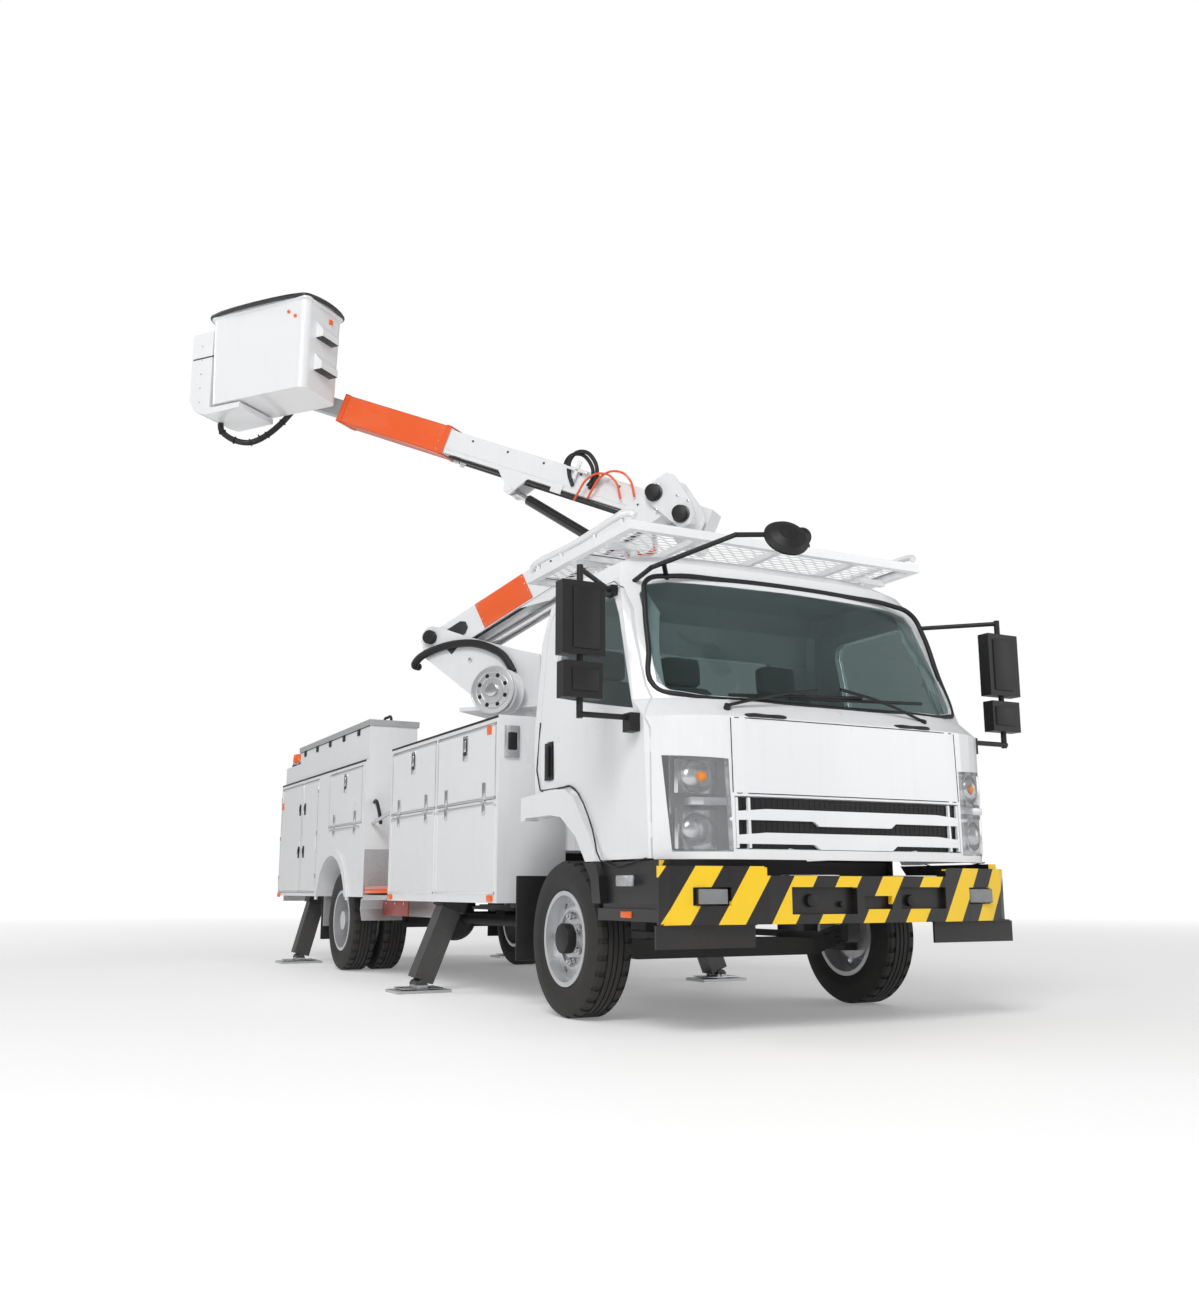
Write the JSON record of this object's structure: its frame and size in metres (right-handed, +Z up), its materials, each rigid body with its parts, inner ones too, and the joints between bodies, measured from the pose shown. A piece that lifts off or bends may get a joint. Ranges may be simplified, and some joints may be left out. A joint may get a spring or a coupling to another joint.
{
  "type": "cherry picker truck",
  "caption": "Cab-over light truck with side lockers, a slewing turret, a two-part articulated boom with a sliding tip, a side-mounted work bucket and four outriggers.",
  "frame": {"origin": "on the ground at the middle of the bounding box", "axes": "+Z up, the truck's front towards -Y, its driver's side (left) towards +X"},
  "size_m": [3.6592, 7.1811, 5.549],
  "materials": {
    "white_paint": "gloss",
    "dark_paint": "satin",
    "chassis_paint": "satin",
    "wheel_silver": "satin",
    "tyre_rubber": "matte",
    "black_plastic": "matte",
    "lamp_lens": "gloss",
    "window_glass": "clear",
    "seat_cloth": "woven",
    "dash_plastic": "matte",
    "aluminium_plate": "satin",
    "hose_rubber": "matte",
    "cylinder_steel": "satin",
    "black_cylinder": "satin",
    "rod_boot": "matte",
    "bucket_shell": "gloss",
    "cast_hub": "rough"
  },
  "bodies": {
    "chassis": {"chassis_frame": "chassis_paint", "axles": "chassis_paint", "engine_block": "cast_hub", "front_bumper": "black_plastic", "front_lockers": "white_paint", "rear_lockers": "white_paint", "deck": "aluminium_plate"},
    "cab": {"cab_shell": "white_paint", "cab_glass": "window_glass", "seats": "seat_cloth", "dashboard": "dash_plastic", "grille": "white_paint", "headlamps": "lamp_lens", "under_view_mirror": "black_plastic", "roof_rack": "white_paint"},
    "cab_door_left": {"cab_door_left": "white_paint", "door_glass_left": "window_glass", "mirror_left": "black_plastic"},
    "cab_door_right": {"cab_door_right": "white_paint", "door_glass_right": "window_glass", "mirror_right": "black_plastic"},
    "knuckle_left": {"knuckle_left": "cast_hub"},
    "knuckle_right": {"knuckle_right": "cast_hub"},
    "front_wheel_left": {"front_rim_left": "wheel_silver", "front_tyre_left": "tyre_rubber"},
    "front_wheel_right": {"front_rim_right": "wheel_silver", "front_tyre_right": "tyre_rubber"},
    "rear_wheels_left": {"rear_rims_left": "wheel_silver", "rear_tyres_left": "tyre_rubber"},
    "rear_wheels_right": {"rear_rims_right": "wheel_silver", "rear_tyres_right": "tyre_rubber"},
    "front_locker_door_1_left": {"front_locker_door_1_left": "white_paint"},
    "front_locker_door_1_right": {"front_locker_door_1_right": "white_paint"},
    "front_locker_door_2_left": {"front_locker_door_2_left": "white_paint"},
    "front_locker_door_2_right": {"front_locker_door_2_right": "white_paint"},
    "rear_drop_door_left": {"rear_drop_door_left": "white_paint"},
    "rear_drop_door_right": {"rear_drop_door_right": "white_paint"},
    "rear_side_door_1_left": {"rear_side_door_1_left": "white_paint"},
    "rear_side_door_1_right": {"rear_side_door_1_right": "white_paint"},
    "rear_side_door_2_left": {"rear_side_door_2_left": "white_paint"},
    "rear_side_door_2_right": {"rear_side_door_2_right": "white_paint"},
    "tier_lid_left": {"tier_lid_left": "aluminium_plate"},
    "tier_lid_right": {"tier_lid_right": "aluminium_plate"},
    "turret": {"turret": "white_paint", "turret_hoses": "hose_rubber"},
    "lower_boom": {"lower_boom": "white_paint"},
    "lower_cylinder_barrel": {"lower_cylinder_barrel": "cylinder_steel"},
    "lower_cylinder_rod": {"lower_cylinder_rod": "rod_boot"},
    "upper_boom": {"upper_boom": "white_paint"},
    "upper_cylinder_barrel": {"upper_cylinder_barrel": "black_cylinder"},
    "upper_cylinder_rod": {"upper_cylinder_rod": "cylinder_steel"},
    "inner_boom": {"inner_boom": "aluminium_plate"},
    "bucket_bracket": {"bucket_bracket": "aluminium_plate"},
    "bucket": {"bucket_mount": "white_paint", "bucket": "bucket_shell", "bucket_hose": "hose_rubber"},
    "outrigger_front_left": {"outrigger_front_left": "dark_paint"},
    "outrigger_front_right": {"outrigger_front_right": "dark_paint"},
    "outrigger_rear_left": {"outrigger_rear_left": "dark_paint"},
    "outrigger_rear_right": {"outrigger_rear_right": "dark_paint"}
  },
  "joints": [
    {"name": "cab_tilt", "type": "hinge", "parent": "chassis", "child": "cab", "pos_m": [0.45705, -3.53, 0.47], "axis": [1, 0, 0], "range_deg": [0, 45]},
    {"name": "cab_door_left_hinge", "type": "hinge", "parent": "cab", "child": "cab_door_left", "pos_m": [1.45705, -3.38, 1], "axis": [0, 0, -1], "range_deg": [0, 70]},
    {"name": "cab_door_right_hinge", "type": "hinge", "parent": "cab", "child": "cab_door_right", "pos_m": [-0.54295, -3.38, 1], "axis": [0, 0, 1], "range_deg": [0, 70]},
    {"name": "steer_left", "type": "hinge", "parent": "chassis", "child": "knuckle_left", "pos_m": [1.25405, -2.44, 0.385], "axis": [0, 0, 1], "range_deg": [-36, 36]},
    {"name": "steer_right", "type": "hinge", "parent": "chassis", "child": "knuckle_right", "pos_m": [-0.33995, -2.44, 0.385], "axis": [0, 0, 1], "range_deg": [-36, 36]},
    {"name": "front_wheel_left_spin", "type": "hinge", "parent": "knuckle_left", "child": "front_wheel_left", "pos_m": [1.33405, -2.44, 0.385], "axis": [1, 0, 0], "continuous": true},
    {"name": "front_wheel_right_spin", "type": "hinge", "parent": "knuckle_right", "child": "front_wheel_right", "pos_m": [-0.41995, -2.44, 0.385], "axis": [1, 0, 0], "continuous": true},
    {"name": "rear_wheels_left_spin", "type": "hinge", "parent": "chassis", "child": "rear_wheels_left", "pos_m": [1.32405, 1.68, 0.385], "axis": [1, 0, 0], "continuous": true},
    {"name": "rear_wheels_right_spin", "type": "hinge", "parent": "chassis", "child": "rear_wheels_right", "pos_m": [-0.40995, 1.68, 0.385], "axis": [1, 0, 0], "continuous": true},
    {"name": "front_locker_door_1_left_hinge", "type": "hinge", "parent": "chassis", "child": "front_locker_door_1_left", "pos_m": [1.50705, -1.23384, 1.13], "axis": [0, 1, 0], "range_deg": [0, 90]},
    {"name": "front_locker_door_1_right_hinge", "type": "hinge", "parent": "chassis", "child": "front_locker_door_1_right", "pos_m": [-0.59295, -1.23384, 1.13], "axis": [0, -1, 0], "range_deg": [0, 90]},
    {"name": "front_locker_door_2_left_hinge", "type": "hinge", "parent": "chassis", "child": "front_locker_door_2_left", "pos_m": [1.50705, -0.27284, 1.13], "axis": [0, 1, 0], "range_deg": [0, 90]},
    {"name": "front_locker_door_2_right_hinge", "type": "hinge", "parent": "chassis", "child": "front_locker_door_2_right", "pos_m": [-0.59295, -0.27284, 1.13], "axis": [0, -1, 0], "range_deg": [0, 90]},
    {"name": "rear_drop_door_left_hinge", "type": "hinge", "parent": "chassis", "child": "rear_drop_door_left", "pos_m": [1.50705, 1.374, 1.12], "axis": [0, 1, 0], "range_deg": [0, 90]},
    {"name": "rear_drop_door_right_hinge", "type": "hinge", "parent": "chassis", "child": "rear_drop_door_right", "pos_m": [-0.59295, 1.374, 1.12], "axis": [0, -1, 0], "range_deg": [0, 90]},
    {"name": "rear_side_door_1_left_hinge", "type": "hinge", "parent": "chassis", "child": "rear_side_door_1_left", "pos_m": [1.50705, 2.2, 1], "axis": [0, 0, -1], "range_deg": [0, 110]},
    {"name": "rear_side_door_1_right_hinge", "type": "hinge", "parent": "chassis", "child": "rear_side_door_1_right", "pos_m": [-0.59295, 2.2, 1], "axis": [0, 0, 1], "range_deg": [0, 110]},
    {"name": "rear_side_door_2_left_hinge", "type": "hinge", "parent": "chassis", "child": "rear_side_door_2_left", "pos_m": [1.50705, 3.524, 1], "axis": [0, 0, 1], "range_deg": [0, 110]},
    {"name": "rear_side_door_2_right_hinge", "type": "hinge", "parent": "chassis", "child": "rear_side_door_2_right", "pos_m": [-0.59295, 3.524, 1], "axis": [0, 0, -1], "range_deg": [0, 110]},
    {"name": "tier_lid_left_hinge", "type": "hinge", "parent": "chassis", "child": "tier_lid_left", "pos_m": [1.10005, 1.914, 1.85], "axis": [0, -1, 0], "range_deg": [0, 85]},
    {"name": "tier_lid_right_hinge", "type": "hinge", "parent": "chassis", "child": "tier_lid_right", "pos_m": [-0.18595, 1.914, 1.85], "axis": [0, 1, 0], "range_deg": [0, 85]},
    {"name": "turret_slew", "type": "hinge", "parent": "chassis", "child": "turret", "pos_m": [0.45705, 0.487, 1.035], "axis": [0, 0, 1], "continuous": true},
    {"name": "lower_boom_lift", "type": "hinge", "parent": "turret", "child": "lower_boom", "pos_m": [-0.01368, 0.8946, 2.565], "axis": [-0.788, -0.6157, 0], "range_deg": [-14, 45]},
    {"name": "lower_cylinder_swing", "type": "hinge", "parent": "turret", "child": "lower_cylinder_barrel", "pos_m": [0.11622, 0.72833, 2.38], "axis": [0.788, 0.6157, 0], "range_deg": [-47.11, 15.48]},
    {"name": "lower_cylinder_stroke", "type": "slide", "parent": "lower_cylinder_barrel", "child": "lower_cylinder_rod", "axis": [0.5595, -0.7161, 0.4173], "range_m": [-0.0722, 0.21966]},
    {"name": "upper_boom_lift", "type": "hinge", "parent": "lower_boom", "child": "upper_boom", "pos_m": [1.47463, -0.61241, 3.29642], "axis": [0.788, 0.6157, 0], "range_deg": [-10, 50]},
    {"name": "upper_cylinder_swing", "type": "hinge", "parent": "lower_boom", "child": "upper_cylinder_barrel", "pos_m": [1.07878, -0.10575, 3.15764], "axis": [0.788, 0.6157, 0], "range_deg": [-12.77, 58.37]},
    {"name": "upper_cylinder_stroke", "type": "slide", "parent": "upper_cylinder_barrel", "child": "upper_cylinder_rod", "axis": [-0.5074, 0.6494, 0.5665], "range_m": [-0.11689, 0.53435]},
    {"name": "boom_extension", "type": "slide", "parent": "upper_boom", "child": "inner_boom", "axis": [-0.5637, 0.7216, 0.4019], "range_m": [0, 1.2]},
    {"name": "bucket_level", "type": "hinge", "parent": "inner_boom", "child": "bucket_bracket", "pos_m": [-1.21454, 2.82958, 5.26296], "axis": [0.788, 0.6157, 0], "range_deg": [-80, 70]},
    {"name": "bucket_swing", "type": "hinge", "parent": "bucket_bracket", "child": "bucket", "pos_m": [-1.47705, 2.67017, 5.26296], "axis": [0, 0, -1], "range_deg": [0, 90]},
    {"name": "outrigger_front_left_slide", "type": "slide", "parent": "chassis", "child": "outrigger_front_left", "axis": [-0.3746, 0, 0.9272], "range_m": [0, 0.42]},
    {"name": "outrigger_front_right_slide", "type": "slide", "parent": "chassis", "child": "outrigger_front_right", "axis": [0.3746, 0, 0.9272], "range_m": [0, 0.42]},
    {"name": "outrigger_rear_left_slide", "type": "slide", "parent": "chassis", "child": "outrigger_rear_left", "axis": [-0.2588, 0, 0.9659], "range_m": [0, 0.42]},
    {"name": "outrigger_rear_right_slide", "type": "slide", "parent": "chassis", "child": "outrigger_rear_right", "axis": [0.2588, 0, 0.9659], "range_m": [0, 0.42]}
  ],
  "couplings": [
    {"joint": "steer_right", "follows": "steer_left", "ratio": 1},
    {"joint": "lower_cylinder_swing", "follows": "lower_boom_lift", "ratio": -1.02},
    {"joint": "lower_cylinder_stroke", "follows": "lower_boom_lift", "m_per_rad": 0.27253},
    {"joint": "upper_cylinder_swing", "follows": "upper_boom_lift", "ratio": 1.14},
    {"joint": "upper_cylinder_stroke", "follows": "upper_boom_lift", "m_per_rad": 0.59797}
  ]
}
